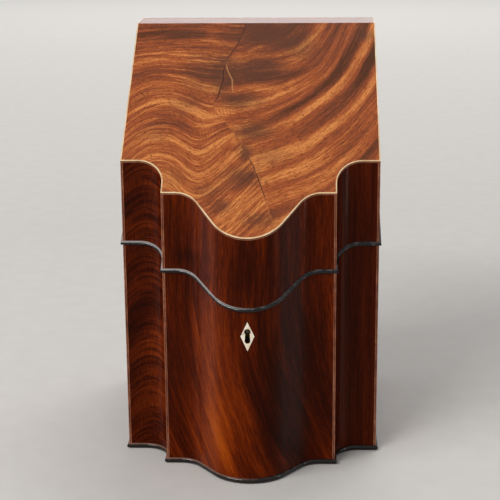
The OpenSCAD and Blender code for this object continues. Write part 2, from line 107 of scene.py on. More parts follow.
def noise(tree, place, scale, detail, roughness=0.5):
    settings = {"Scale": scale, "Detail": detail, "Roughness": roughness}
    return add(tree, "TexNoise", Vector=place, **settings).outputs["Fac"]


def for_the_eye(tree):
    """1 on rays from the camera and in mirrors and glass, 0 on rays that only give light."""
    rays = add(tree, "LightPath").outputs
    mirrored = calc(tree, "ADD", rays["Is Glossy Ray"], rays["Is Transmission Ray"])
    return calc(tree, "MINIMUM", calc(tree, "ADD", rays["Is Camera Ray"], mirrored), 1.0)


floor_mesh = bmesh.new()
bmesh.ops.create_circle(floor_mesh, cap_ends=True, segments=96, radius=9)
floor = bpy.data.objects.new("floor", bpy.data.meshes.new("floor"))
floor_mesh.to_mesh(floor.data)
floor_mesh.free()
bpy.context.scene.collection.objects.link(floor)
floor_paper, tree, shader, at = new_finish("floor_paper", 0.9)
paper = add(tree, "ValToRGB", Fac=noise(tree, at, 40.0, 4.0))
paper.color_ramp.elements[0].color = tone("CFCBC5")
paper.color_ramp.elements[1].color = tone("D9D5CF")
join(tree, paper.outputs["Color"], shader, "Base Color")
# Far off, where the lamps don't reach, the paper is as pale as the sky for the eye
far = add(tree, "VectorMath", {"operation": "LENGTH"}, _0=at).outputs["Value"]
far = add(tree, "MapRange", Value=far, From_Min=0.8, From_Max=4.0, To_Max=0.42)
glow = calc(tree, "MULTIPLY", far.outputs["Result"], for_the_eye(tree))
join(tree, glow, shader, "Emission Strength")
shader.inputs["Emission Color"].default_value = tone("E6E4E0")
floor.data.materials.append(floor_paper)

world = bpy.data.worlds.new("studio")
bpy.context.scene.world = world
world.use_nodes = True
sky = world.node_tree.nodes["Background"]
sky.inputs["Color"].default_value = tone("E9EAEE")
seen = for_the_eye(world.node_tree)
strength = add(world.node_tree, "MapRange", Value=seen, To_Min=0.4, To_Max=0.75)
world.node_tree.links.new(strength.outputs["Result"], sky.inputs["Strength"])


def softbox(name, place, aim, width, height, power):
    """A square lamp at a place, turned towards a point."""
    light = bpy.data.lights.new(name, "AREA")
    light.shape = "RECTANGLE"
    light.size = width
    light.size_y = height
    light.energy = power
    lamp = bpy.data.objects.new(name, light)
    bpy.context.scene.collection.objects.link(lamp)
    lamp.visible_camera = False
    towards = (Vector(aim) - Vector(place)).to_track_quat("-Z", "Y")
    lamp.matrix_world = Matrix.Translation(place) @ towards.to_matrix().to_4x4()


softbox("window", (-2.3, -2.4, 2.9), (0, 0, 0.2), 3.0, 0.7, 125)
softbox("top_lamp", (0.6, 1.6, 3.2), (0, 0, 0.25), 1.6, 1.2, 32)
softbox("back_card", (0.0, 4.0, 1.35), (0, 0, 0.38), 1.6, 0.7, 9)
softbox("side_card", (0.95, -0.3, 0.2), (0, -0.1, 0.2), 0.12, 0.4, 0.5)


# Base board. A pine board let in between the walls and glued. Only its underside shows. The
# fillets that carry the slotted board are of pine too.
def bump(tree, shader, height, strength, distance):
    """Raises the surface by the height, up to this distance."""
    made = add(tree, "Bump", Height=height, Strength=strength, Distance=distance)
    join(tree, made.outputs["Normal"], shader, "Normal")


pine, tree, shader, at = new_finish("pine", 0.6)
along = add(tree, "Mapping", Vector=at, Scale=(60, 900, 900)).outputs["Vector"]
rings = add(tree, "TexNoise", Vector=along, Scale=0.35, Detail=3.0, Distortion=0.4)
wood = add(tree, "ValToRGB", Fac=rings.outputs["Fac"])
wood.color_ramp.elements[0].position = 0.3
wood.color_ramp.elements[0].color = tone("8A5F36")
wood.color_ramp.elements[1].position = 0.7
wood.color_ramp.elements[1].color = tone("B98B58")
join(tree, wood.outputs["Color"], shader, "Base Color")
bump(tree, shader, rings.outputs["Fac"], 0.15, 0.0005)


def finish_node(name, material):
    """Gives a CAD node its material."""
    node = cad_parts[name]
    node.data.materials.clear()
    node.data.materials.append(material)


finish_node("base_board", pine)
finish_node("board_fillets", pine)


# Carcase of the case. Boards of plain mahogany, glued up; their rims and inner faces show when
# the lid is open, and the back is polished over the solid wood.
def across_and_along(tree, at, grain, warp=4.0):
    """Coordinates in millimetres across and along the grain, bent a little as grown wood is."""
    size = add(tree, "VectorMath", {"operation": "SCALE"}, _0=at, Scale=1000.0).outputs[0]
    bend = add(tree, "TexNoise", Vector=size, Scale=0.012, Detail=2.0).outputs["Color"]
    bend = add(tree, "VectorMath", {"operation": "SUBTRACT"}, _0=bend, _1=(0.5, 0.5, 0.5))
    bend = add(
        tree, "VectorMath", {"operation": "SCALE"}, _0=bend.outputs[0], Scale=2 * warp
    )
    bent = add(tree, "VectorMath", _0=size, _1=bend.outputs[0]).outputs[0]
    return add(tree, "Mapping", Vector=bent, Scale=grain).outputs["Vector"]


def stained(tree, factor, *stops):
    """Colours by factor, each stop a place from 0 to 1 and a colour."""
    ramp = add(tree, "ValToRGB", Fac=factor)
    line = ramp.color_ramp
    line.elements[0].position, line.elements[0].color = stops[0][0], tone(stops[0][1])
    line.elements[1].position, line.elements[1].color = stops[-1][0], tone(stops[-1][1])
    for place, colour in stops[1:-1]:
        line.elements.new(place).color = tone(colour)
    return ramp.outputs["Color"]


upright = (1, 1, 0.03)
from_side_to_side = (0.03, 1, 1)


def plain_mahogany(name, dark, middle, light, roughness, coat, grain=upright):
    """Straight-grained mahogany."""
    material, tree, shader, at = new_finish(name, roughness, coat, 0.12)
    shader.inputs["Specular IOR Level"].default_value = 0.15
    grain = across_and_along(tree, at, grain, warp=7.0)
    broad = noise(tree, grain, 0.04, 1.0)
    stripes = noise(tree, grain, 0.22, 4.0, 0.6)
    lines = noise(tree, grain, 1.6, 2.0)
    both = calc(tree, "MULTIPLY_ADD", lines, 0.4, stripes)
    figure = calc(tree, "MULTIPLY", calc(tree, "MULTIPLY_ADD", broad, 0.6, both), 0.5)
    colour = stained(tree, figure, (0.4, dark), (0.51, middle), (0.62, light))
    join(tree, colour, shader, "Base Color")
    bump(tree, shader, lines, 0.12, 0.0003)
    return material


carcase_wood = plain_mahogany("carcase_wood", "32120A", "52220F", "74381C", 0.5, 0.1)
back_wood = plain_mahogany("back_wood", "2E0C04", "4C1A09", "6E2E12", 0.42, 0.1)
for name in ("side_left", "side_right", "corner_left", "corner_right", "front"):
    finish_node("case_" + name, carcase_wood)
finish_node("case_back", back_wood)

# Front veneer. One leaf of curl mahogany is laid over the serpentine from cusp to cusp, sawn
# through at the joint after polishing, so that the figure runs on from case to lid.
box_w = 230 * mm
side_d = 203.5 * mm
corner_y = -62.65 * mm
centre_w = 152.8 * mm
cusp_out = 32.4 * mm
bow_out = 76.2 * mm
cove_r = 23 * mm
bow_r = 38 * mm
hollow_r = 24 * mm
cusp_flat = 12.4 * mm
joint_h = 197.8 * mm
joint_slope = math.radians(26.8)
rim_gap = 0.4 * mm
line_w = 2.1 * mm
line_d = 1.4 * mm
veneer_t = 0.7 * mm
proud = 0.1 * mm
hair = 0.05 * mm
cusp_x = centre_w / 2
hollow_x = cusp_x - cusp_flat
arcs_r = bow_r + hollow_r
arcs_dy = bow_out - cusp_out - arcs_r
wave_angle = math.atan2(arcs_dy, hollow_x) + math.asin(arcs_r / math.hypot(hollow_x, arcs_dy))
arc_step = math.radians(1.5)


def step_to(bm, start, x, y):
    """Draws a straight line on from the end of the outline."""
    end = bmesh.ops.extrude_vert_indiv(bm, verts=[start])["verts"][0]
    end.co = (x, y, 0)
    return end


def sweep(bm, start, x, y, angle):
    """Draws an arc on from the end of the outline, about a centre."""
    steps = max(2, round(abs(angle) / arc_step))
    swept = bmesh.ops.spin(
        bm, geom=[start], cent=(x, y, 0), axis=(0, 0, 1), angle=angle, steps=steps
    )
    return next(v for v in swept["geom_last"] if isinstance(v, bmesh.types.BMVert))


def add_left_half(bm):
    """Mirrors the right half and welds the two in the middle."""
    geom = bm.verts[:] + bm.edges[:] + bm.faces[:]
    bmesh.ops.mirror(bm, geom=geom, axis="X", merge_dist=1e-6)


def set_in_frame(bm, height):
    """Moves a piece drawn from the plane of the front corners to its place, at this height."""
    bmesh.ops.translate(bm, verts=bm.verts[:], vec=(0, corner_y, height))


def draw_bow(bm, depth):
    """Right half of the bow and its hollow, this depth inside the veneer's face."""
    end = bm.verts.new((0, depth - bow_out, 0))
    end = sweep(bm, end, 0, bow_r - bow_out, wave_angle)
    radius = hollow_r + depth
    turn = wave_angle + math.pi / 2
    start_y = radius * math.sin(turn) - cusp_out - hollow_r
    end = step_to(bm, end, hollow_x + radius * math.cos(turn), start_y)
    return sweep(bm, end, hollow_x, -cusp_out - hollow_r, -wave_angle)


def draw_cove(bm, end, depth):
    """The hollow quarter round beside a cusp, on from a point beside that cusp."""
    end = step_to(bm, end, cusp_x - depth, -cove_r)
    return sweep(bm, end, cusp_x + cove_r, -cove_r, -math.pi / 2)


def cut(bm, point, normal, clear=True):
    """Cuts through the whole piece, and takes off the side that the normal points to."""
    everything = bm.verts[:] + bm.edges[:] + bm.faces[:]
    bmesh.ops.bisect_plane(
        bm, geom=everything, plane_co=point, plane_no=normal, clear_outer=clear, dist=1e-7
    )


def raise_sheet(bm, height):
    """Pulls the drawn outline up into an upright sheet."""
    pulled = bmesh.ops.extrude_edge_only(bm, edges=bm.edges[:])["geom"]
    upper = [v for v in pulled if isinstance(v, bmesh.types.BMVert)]
    bmesh.ops.translate(bm, verts=upper, vec=(0, 0, height))


def joint_point(gap):
    """A point of the joint above the front corners, this far above or below it."""
    return Vector((0, corner_y, joint_h + gap / math.cos(joint_slope)))


joint_up = Vector((0, -math.sin(joint_slope), math.cos(joint_slope)))


def thicken(bm, outwards, thickness=veneer_t):
    """Turns a sheet's faces out and gives it a thickness inwards."""
    bmesh.ops.recalc_face_normals(bm, faces=bm.faces[:])
    faces = bm.faces[:]
    if sum(f.normal.dot(Vector(outwards)) * f.calc_area() for f in faces) < 0:
        bmesh.ops.reverse_faces(bm, faces=faces)
    bmesh.ops.solidify(bm, geom=faces, thickness=thickness)


def make_piece(name, bm, body, slot, *materials, sharp=32):
    """Makes the mesh an object that rides on a body, smooth but for its sharp edges."""
    for edge in bm.edges:
        if len(edge.link_faces) != 2 or edge.calc_face_angle(0) > math.radians(sharp):
            edge.smooth = False
    for face in bm.faces:
        face.smooth = True
    piece = bpy.data.objects.new(name, bpy.data.meshes.new(name))
    bm.to_mesh(piece.data)
    bm.free()
    for material in materials:
        piece.data.materials.append(material)
    bpy.context.scene.collection.objects.link(piece)
    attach(piece, body)
    return piece


def axes(tree, vector):
    return add(tree, "SeparateXYZ", Vector=vector).outputs


def off(tree, value, middle):
    """How far the value is from the middle."""
    return calc(tree, "ABSOLUTE", calc(tree, "SUBTRACT", value, middle))


def ease(tree, value, low, high, start=0.0, end=1.0):
    """Runs softly from start to end while the value goes from low to high."""
    settings = {"interpolation_type": "SMOOTHSTEP"}
    limits = {"From_Min": low, "From_Max": high, "To_Min": start, "To_Max": end}
    return add(tree, "MapRange", settings, Value=value, **limits).outputs["Result"]


def cloud(tree, place, centre, radii, amount, total):
    """Adds to the total a soft patch of colour round a centre, all in millimetres."""
    away = add(tree, "VectorMath", {"operation": "SUBTRACT"}, _0=place, _1=centre).outputs[0]
    away = add(tree, "VectorMath", {"operation": "DIVIDE"}, _0=away, _1=radii).outputs[0]
    far = add(tree, "VectorMath", {"operation": "LENGTH"}, _0=away).outputs["Value"]
    return calc(tree, "ADD", total, ease(tree, far, 0.0, 1.0, amount, 0.0))


def blended(tree, factor, first, second):
    """The first colour where the factor is 0, the second where it is 1."""
    mix = tree.nodes.new("ShaderNodeMix")
    mix.data_type = "RGBA"
    for index, value in ((0, factor), (6, first), (7, second)):
        if isinstance(value, bpy.types.NodeSocket):
            tree.links.new(value, mix.inputs[index])
        else:
            mix.inputs[index].default_value = value
    return mix.outputs[2]


def polish(tree, shader, at, colour, fibres, wavy=0.35):
    """Old French polish on the colour: glossy, a little wavy, the pores just showing through."""
    join(tree, colour, shader, "Base Color")
    waves = noise(tree, at, 55.0, 1.0)
    waves = add(tree, "Bump", Height=waves, Strength=wavy, Distance=0.0006)
    pores = add(tree, "Bump", Height=fibres, Strength=0.3, Distance=0.0002)
    tree.links.new(waves.outputs["Normal"], pores.inputs["Normal"])
    join(tree, pores.outputs["Normal"], shader, "Normal")
    join(tree, waves.outputs["Normal"], shader, "Coat Normal")


def streaks(tree, across, along, thick, long, detail, slip=0.0):
    """Streaks of the grain, this thick and this long in millimetres."""
    across = calc(tree, "DIVIDE", across, thick)
    along = calc(tree, "DIVIDE", along, long)
    place = add(tree, "CombineXYZ", X=across, Y=along, Z=slip).outputs[0]
    return noise(tree, place, 1.0, detail)


def weighed(tree, *layers):
    """Adds up layers of figure round a middle of one half, each with its weight."""
    total = 0.5
    for layer, weight in layers:
        total = calc(tree, "MULTIPLY_ADD", calc(tree, "SUBTRACT", layer, 0.5), weight, total)
    return total


def with_pores(tree, colour, across, along, thick):
    """The colour with the short dark pores of the wood in it."""
    pores = ease(tree, streaks(tree, across, along, thick, 3.5, 1.0, 3.0), 0.58, 0.72)
    return blended(tree, calc(tree, "MULTIPLY", pores, 0.4), colour, tone("160300"))


def polished_veneer(name):
    """A veneer under thin shellac, which is amber and keeps the wood deep in colour."""
    material, tree, shader, at = new_finish(name, 0.16, 0.05, 0.06)
    shader.inputs["Specular IOR Level"].default_value = 0.07
    shader.inputs["Specular Tint"].default_value = tone("FFB890")
    return material, tree, shader, at


front_veneer, tree, shader, at = polished_veneer("front_veneer")
bent = across_and_along(tree, at, (1, 1, 1), warp=5.0)
part = axes(tree, bent)
# The grain falls straight from the joint and then curves away to the right
fall = calc(tree, "MAXIMUM", calc(tree, "MULTIPLY_ADD", part["Z"], -1 / 175, 1.0), 0.0)
curve = calc(tree, "MULTIPLY", calc(tree, "POWER", fall, 2.0), -43.0)
across = calc(tree, "ADD", part["X"], curve)
down = part["Z"]
lines = streaks(tree, across, down, 0.55, 9.0, 2.0)
figure = weighed(
    tree,
    (streaks(tree, across, down, 22.0, 200.0, 1.0), 0.6),
    (streaks(tree, across, down, 5.6, 90.0, 2.0, 5.0), 0.4),
    (streaks(tree, across, down, 1.7, 40.0, 2.0, 9.0), 0.34),
    (lines, 0.4),
)
place = add(tree, "VectorMath", {"operation": "SCALE"}, _0=at, Scale=1000.0).outputs[0]
# Soft patches of colour. The light ones on the left and the dark one on the right are partly the
# wood's own tone and partly painted light falling from the left.
for centre, radii, amount in (
    ((-28, -140, 40), (36, 200, 85), 0.26),
    ((-38, -140, 130), (30, 200, 60), 0.14),
    ((-45, -140, 232), (28, 200, 48), 0.12),
    ((-56, -140, 197), (18, 200, 12), -0.12),
    ((-76, -140, 110), (10, 200, 120), -0.08),
    ((36, -140, 80), (52, 200, 150), -0.16),
    ((5, -140, 190), (36, 200, 40), -0.12),
    ((20, -140, 10), (40, 200, 26), 0.1),
):
    figure = cloud(tree, place, centre, radii, amount, figure)
colour = stained(
    tree, figure,
    (0.1, "150200"), (0.26, "220400"), (0.4, "350A00"), (0.53, "4E1501"), (0.66, "6C2402"),
    (0.8, "8A3604"), (0.95, "A24808"),
)
colour = with_pores(tree, colour, across, down, 0.45)
# The glue line round the escutcheon
keyhole_drop = 18.2 * mm
keyhole_rise = 4 * mm
keyhole_z = joint_h - bow_out * math.tan(joint_slope) - keyhole_drop
diamond_w = 12.2 * mm
diamond_h = 26.7 * mm
diamond_z = keyhole_z - keyhole_rise


def from_the_diamond(tree, at):
    """0 in the middle of the diamond, 1 at its edge."""
    parts = axes(tree, at)
    x = calc(tree, "DIVIDE", calc(tree, "ABSOLUTE", parts["X"]), diamond_w / 2)
    z = calc(tree, "DIVIDE", off(tree, parts["Z"], diamond_z), diamond_h / 2)
    return calc(tree, "ADD", x, z)


glue = ease(tree, from_the_diamond(tree, at), 1.03, 1.14, 0.8, 0.0)
colour = blended(tree, glue, colour, tone("120301"))
polish(tree, shader, at, colour, lines)


def front_sheet():
    """The leaf over the serpentine, between the lines at the two cusps."""
    bm = bmesh.new()
    end = draw_bow(bm, -proud)
    step_to(bm, end, cusp_x - line_w, -cusp_out - proud)
    add_left_half(bm)
    set_in_frame(bm, hair)
    raise_sheet(bm, 400 * mm)
    return bm


bm = front_sheet()
cut(bm, joint_point(-rim_gap / 2 - hair), joint_up)
for x in (-1, 1):
    for z in (-1, 1):
        out = Vector((x / diamond_w, 0, z / diamond_h))
        cut(bm, (x * diamond_w / 2, 0, diamond_z), out.normalized(), clear=False)
inside = [
    f for f in bm.faces
    if abs(f.calc_center_median().x) / diamond_w
    + abs(f.calc_center_median().z - diamond_z) / diamond_h < 0.5
]
bmesh.ops.delete(bm, geom=inside, context="FACES")
thicken(bm, (0, -1, 0))
make_piece("case_front_veneer", bm, "case", "mahogany_front", front_veneer)


# Cove veneers. Each corner block is a hollow quarter round, covered by its own leaf between the
# line at the cusp and the line at the corner. The left leaf has a fine cross ripple.
def between(tree, factor, first, second):
    """The first number where the factor is 0, the second where it is 1."""
    mix = add(tree, "Mix", _0=factor)
    tree.links.new(first, mix.inputs[2])
    tree.links.new(second, mix.inputs[3])
    return mix.outputs[0]


cove_veneer, tree, shader, at = polished_veneer("cove_veneer")
bent = across_and_along(tree, at, (1, 1, 1), warp=3.0)
part = axes(tree, bent)
across = calc(tree, "ADD", part["X"], part["Y"])
lines = streaks(tree, across, part["Z"], 0.7, 10.0, 2.0)
straight = weighed(
    tree,
    (streaks(tree, across, part["Z"], 12.0, 220.0, 1.0), 0.5),
    (streaks(tree, across, part["Z"], 3.0, 90.0, 2.0, 5.0), 0.35),
    (lines, 0.35),
)
arch = calc(tree, "POWER", calc(tree, "ADD", part["X"], 91.0), 2.0)
arch = calc(tree, "MULTIPLY_ADD", arch, 0.025, part["Z"])
hill = calc(tree, "SUBTRACT", streaks(tree, arch, part["X"], 7.0, 90.0, 2.0, 7.0), 0.5)
hill = ease(tree, calc(tree, "ABSOLUTE", hill), 0.0, 0.05, -0.16, 0.0)
rippled = weighed(
    tree,
    (streaks(tree, arch, part["X"], 40.0, 90.0, 1.0), 0.8),
    (streaks(tree, arch, part["X"], 4.0, 50.0, 2.0, 5.0), 0.35),
    (lines, 0.45),
)
rippled = calc(tree, "ADD", rippled, hill)
figure = between(tree, ease(tree, part["X"], -1.0, 1.0), rippled, straight)
place = add(tree, "VectorMath", {"operation": "SCALE"}, _0=at, Scale=1000.0).outputs[0]
for centre, radii, amount in (
    ((-84, -90, 90), (22, 60, 170), 0.16),
    ((-97, -90, 225), (30, 60, 40), -0.1),
    ((-112, -60, 100), (12, 60, 160), -0.08),
    ((97, -80, 150), (40, 80, 260), -0.12),
):
    figure = cloud(tree, place, centre, radii, amount, figure)
colour = stained(
    tree, figure,
    (0.15, "1C0300"), (0.35, "300700"), (0.5, "451201"), (0.65, "5E1E03"), (0.85, "7C3005"),
)
polish(tree, shader, at, colour, lines)


def cove_sheet(side):
    """The leaf in a corner's hollow."""
    bm = bmesh.new()
    start = bm.verts.new((cusp_x + proud, line_d - cusp_out, 0))
    end = draw_cove(bm, start, -proud)
    step_to(bm, end, box_w / 2 - line_w, -proud)
    bmesh.ops.scale(bm, verts=bm.verts[:], vec=(side, 1, 1))
    set_in_frame(bm, hair)
    raise_sheet(bm, 400 * mm)
    return bm


left = -1
right = 1
for side, word in ((left, "left"), (right, "right")):
    bm = cove_sheet(side)
    cut(bm, joint_point(-rim_gap / 2 - hair), joint_up)
    thicken(bm, (side * 0.01, -1, 0))
    make_piece("case_cove_veneer_" + word, bm, "case", "mahogany_front", cove_veneer)


# Side veneers. A long straight leaf on each side, from the line at the corner to the back.
side_veneer, tree, shader, at = polished_veneer("side_veneer")
bent = across_and_along(tree, at, (1, 1, 1), warp=9.0)
part = axes(tree, bent)
lines = streaks(tree, part["Y"], part["Z"], 0.6, 10.0, 2.0)
figure = weighed(
    tree,
    (streaks(tree, part["Y"], part["Z"], 26.0, 240.0, 1.0), 0.7),
    (streaks(tree, part["Y"], part["Z"], 5.0, 100.0, 2.0, 5.0), 0.45),
    (streaks(tree, part["Y"], part["Z"], 1.5, 45.0, 2.0, 9.0), 0.45),
    (streaks(tree, part["Z"], part["Y"], 9.0, 30.0, 2.0, 11.0), 0.35),
    (lines, 0.5),
)
colour = stained(
    tree, figure,
    (0.1, "1A0400"), (0.28, "2C0701"), (0.42, "401003"), (0.55, "581B06"), (0.68, "72290B"),
    (0.85, "8E3C14"),
)
colour = with_pores(tree, colour, part["Y"], part["Z"], 0.5)
polish(tree, shader, at, colour, lines)


def side_sheet(side):
    """The leaf on a side."""
    bm = bmesh.new()
    start = bm.verts.new((side * (box_w / 2 + proud), line_d - proud, 0))
    step_to(bm, start, side * (box_w / 2 + proud), side_d)
    set_in_frame(bm, hair)
    raise_sheet(bm, 400 * mm)
    return bm


# Behind the hinge axis case and lid are chamfered, and the chamfers stop the open lid
hinge_in = 3 * mm
stop_half = math.radians(58)
axis_rise = (side_d - hinge_in) * math.tan(joint_slope)
hinge_axis = Vector((0, corner_y + side_d - hinge_in, joint_h + axis_rise))
case_chamfer = (0, math.sin(stop_half), math.cos(stop_half))
lid_chamfer = (0, math.sin(stop_half), -math.cos(stop_half))
for side, word in ((left, "left"), (right, "right")):
    bm = side_sheet(side)
    cut(bm, joint_point(-rim_gap / 2 - hair), joint_up)
    cut(bm, hinge_axis, case_chamfer)
    thicken(bm, (side, 0, 0))
    make_piece("case_side_veneer_" + word, bm, "case", "mahogany", side_veneer)


# Lines in the arrises. At each corner and cusp three thin strips, boxwood, black and boxwood,
# are glued side by side in a rebate and scraped level with the veneer.
def line_wood(name, dark, middle, light):
    """Boxwood that the polish has toned, with dirt here and there."""
    material, tree, shader, at = new_finish(name, 0.4, 0.25, 0.1)
    shader.inputs["Specular IOR Level"].default_value = 0.2
    long_spots = noise(tree, at, 90.0, 4.0)
    specks = noise(tree, at, 900.0, 2.0)
    both = calc(tree, "MULTIPLY_ADD", specks, 0.3, calc(tree, "MULTIPLY", long_spots, 0.7))
    colour = stained(tree, both, (0.3, dark), (0.5, middle), (0.7, light))
    join(tree, colour, shader, "Base Color")
    bump(tree, shader, specks, 0.2, 0.0002)
    return material


toned_boxwood = line_wood("toned_boxwood", "66331E", "8E5034", "B27452")
boxwood = line_wood("boxwood", "C08E60", "E2BF90", "F4DDB4")
black_line = line_wood("black_line", "1E0A06", "2C110A", "3A1A10")


def block(bm, x, y, z, paint=0):
    """A squared strip between these limits in x, y and z, in the numbered material."""
    made = bmesh.ops.create_cube(bm, size=1)["verts"]
    lengths = [b - a for a, b in (x, y, z)]
    bmesh.ops.scale(bm, verts=made, vec=lengths)
    middle = [(a + b) / 2 for a, b in (x, y, z)]
    bmesh.ops.translate(bm, verts=made, vec=middle)
    for face in {f for v in made for f in v.link_faces}:
        face.material_index = paint
    return made


strip_edges = (0, 0.8 * mm, 1.3 * mm, line_w)


def arris_lines():
    """The three strips at both corners and both cusps."""
    bm = bmesh.new()
    for arris_x, front_y in ((box_w / 2, 0), (cusp_x, -cusp_out)):
        for k in range(3):
            outer = arris_x + proud if k == 0 else arris_x - strip_edges[k]
            x = (arris_x - strip_edges[k + 1], outer)
            y = (corner_y + front_y - proud, corner_y + front_y - proud + line_d)
            made = block(bm, x, y, (hair, 400 * mm), paint=k % 2)
            if k == 0:
                edge = [
                    e for v in made for e in v.link_edges
                    if all(w.co.x > arris_x and w.co.y < y[0] + hair for w in e.verts)
                ]
                bmesh.ops.bevel(
                    bm, geom=list(set(edge)), offset=0.35 * mm, segments=3, profile=0.5,
                    affect="EDGES", material=-1,
                )
    bmesh.ops.mirror(bm, geom=bm.verts[:] + bm.edges[:] + bm.faces[:], axis="X")
    bmesh.ops.recalc_face_normals(bm, faces=bm.faces[:])
    return bm


def close_ends(bm):
    """Closes the ends that a cut has opened."""
    open_edges = [e for e in bm.edges if len(e.link_faces) == 1]
    bmesh.ops.holes_fill(bm, edges=open_edges, sides=0)


bm = arris_lines()
cut(bm, joint_point(-rim_gap / 2 - hair), joint_up)
close_ends(bm)
piece = make_piece("case_arris_lines", bm, "case", "boxwood", toned_boxwood, black_line)
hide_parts("case_strings")


# Base bead. A half-round moulding, stained dark, is planted round the foot, mitred at the cusps
# and corners, and stands a hair above the table.
def ebonised(name, dark, highlight_and_wear_tone, slope, foot, height):
    """Black-stained wood, glossy, with a painted highlight: grey along the upper part of the
    bead, most at the left and the front, over a little random wear.
    """
    material, tree, shader, at = new_finish(name, 0.16, 0.45, 0.05)
    shader.inputs["Specular IOR Level"].default_value = 0.12
    wear_and_highlight = noise(tree, at, 150.0, 5.0, 0.65)
    parts = axes(tree, at)
    # Painted highlight: grey grows over the upper part of the bead, more at the left and at the
    # front
    rise = calc(tree, "MULTIPLY_ADD", parts["Y"], -math.tan(slope), parts["Z"])
    rise = ease(tree, rise, foot + 0.68 * height, foot + height, 0.0, 0.34)
    rise = calc(tree, "MULTIPLY", rise, ease(tree, parts["X"], 20 * mm, -40 * mm, 0.15, 1.0))
    rise = calc(tree, "MULTIPLY", rise, ease(tree, parts["Y"], -30 * mm, -60 * mm, 0.3, 1.0))
    wear_and_highlight = calc(tree, "MULTIPLY_ADD", wear_and_highlight, 0.35, calc(tree, "ADD", rise, 0.3))
    colour = stained(tree, wear_and_highlight, (0.5, dark), (0.78, highlight_and_wear_tone))
    join(tree, colour, shader, "Base Color")
    knocks = noise(tree, at, 240.0, 3.0)
    knocks = add(tree, "Bump", Height=knocks, Strength=0.2, Distance=0.0005)
    join(tree, knocks.outputs["Normal"], shader, "Normal")
    join(tree, knocks.outputs["Normal"], shader, "Coat Normal")
    return material


bead_out = 2 * mm
bead_rows = 10


def draw_half(bm, depth, back_y):
    """Right half of the whole outline, from the middle of the bow to the back."""
    end = draw_bow(bm, depth)
    end = step_to(bm, end, cusp_x - depth, depth - cusp_out)
    end = draw_cove(bm, end, depth)
    end = step_to(bm, end, box_w / 2 - depth, depth)
    return step_to(bm, end, box_w / 2 - depth, back_y)


def lay_rows(bm, rows, closed):
    """Joins the rows of edges one to the next, and the last to the first."""
    for first, second in zip(rows, rows[1:] + rows[:1] if closed else rows[1:]):
        bmesh.ops.bridge_loops(bm, edges=first + second)


def half_round(height, low, slope, back_y):
    """A bead round the box, its lower edge low above a plane of this slope."""
    bm = bmesh.new()
    rows = []
    for k in range(bead_rows + 1):
        turn = math.pi * (k / bead_rows - 0.5)
        before = len(bm.edges)
        first = len(bm.verts)
        draw_half(bm, -bead_out * math.cos(turn), back_y)
        bm.verts.ensure_lookup_table()
        rise = low + height / 2 * (1 + math.sin(turn))
        bmesh.ops.translate(bm, verts=bm.verts[first:], vec=(0, 0, rise))
        rows.append(bm.edges[before:])
    lay_rows(bm, rows, True)
    add_left_half(bm)
    close_ends(bm)
    lean = Matrix.Identity(4)
    lean[2][1] = math.tan(slope)
    bmesh.ops.transform(bm, matrix=lean, verts=bm.verts[:])
    set_in_frame(bm, 0)
    bmesh.ops.recalc_face_normals(bm, faces=bm.faces[:])
    return bm


base_bead_h = 4.6 * mm
base_bead_lift = 0.4 * mm
# The base bead's painted highlight is a brownish grey
base_bead_black = ebonised(
    "base_bead_black", "120906", "7A5A4C", 0, base_bead_lift, base_bead_h
)
bm = half_round(base_bead_h, base_bead_lift, 0, side_d)
piece = make_piece("base_bead_moulding", bm, "case", "black_wood", base_bead_black)
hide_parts("base_bead")


# Escutcheon. A diamond of bone, let into the bow flush with the veneer and bent to its curve. The
# keyhole is drilled and filed through it.
bone, tree, shader, at = new_finish("bone", 0.35, 0.6, 0.15)
fibre = add(tree, "Mapping", Vector=at, Scale=(1, 1, 0.12)).outputs["Vector"]
fibre = noise(tree, fibre, 2200.0, 3.0)
age = noise(tree, at, 260.0, 3.0)
both = calc(tree, "MULTIPLY_ADD", fibre, 0.35, calc(tree, "MULTIPLY", age, 0.65))
colour = stained(tree, both, (0.3, "E0C7A0"), (0.5, "F6E8D0"), (0.7, "FFF6E6"))
# A hairline crack from the keyhole to the left edge, and dirt round the rim
crack = add(
    tree, "Mapping", {"vector_type": "TEXTURE"}, Vector=at, Scale=(mm, 1, mm),
    Location=(-4.1 * mm, 0, diamond_z + 2.2 * mm), Rotation=(0, math.radians(-28), 0),
).outputs["Vector"]
crack = axes(tree, crack)
across = ease(tree, calc(tree, "ABSOLUTE", crack["Z"]), 0.1, 0.3, 0.75, 0.0)
along = ease(tree, calc(tree, "ABSOLUTE", crack["X"]), 1.3, 1.7, 1.0, 0.0)
colour = blended(tree, calc(tree, "MULTIPLY", across, along), colour, tone("3A2416"))
rim = from_the_diamond(tree, at)
colour = blended(tree, ease(tree, rim, 0.93, 1.0, 0.0, 0.6), colour, tone("6A4226"))
join(tree, colour, shader, "Base Color")
bump(tree, shader, fibre, 0.25, 0.0001)

bm = bmesh.new()
tips = ((0, -1), (1, 0), (0, 1), (-1, 0))
start = end = bm.verts.new((0, -diamond_h / 2, 0))
for x, z in tips[1:]:
    end = step_to(bm, end, x * diamond_w / 2, z * diamond_h / 2)
bm.edges.new((end, start))
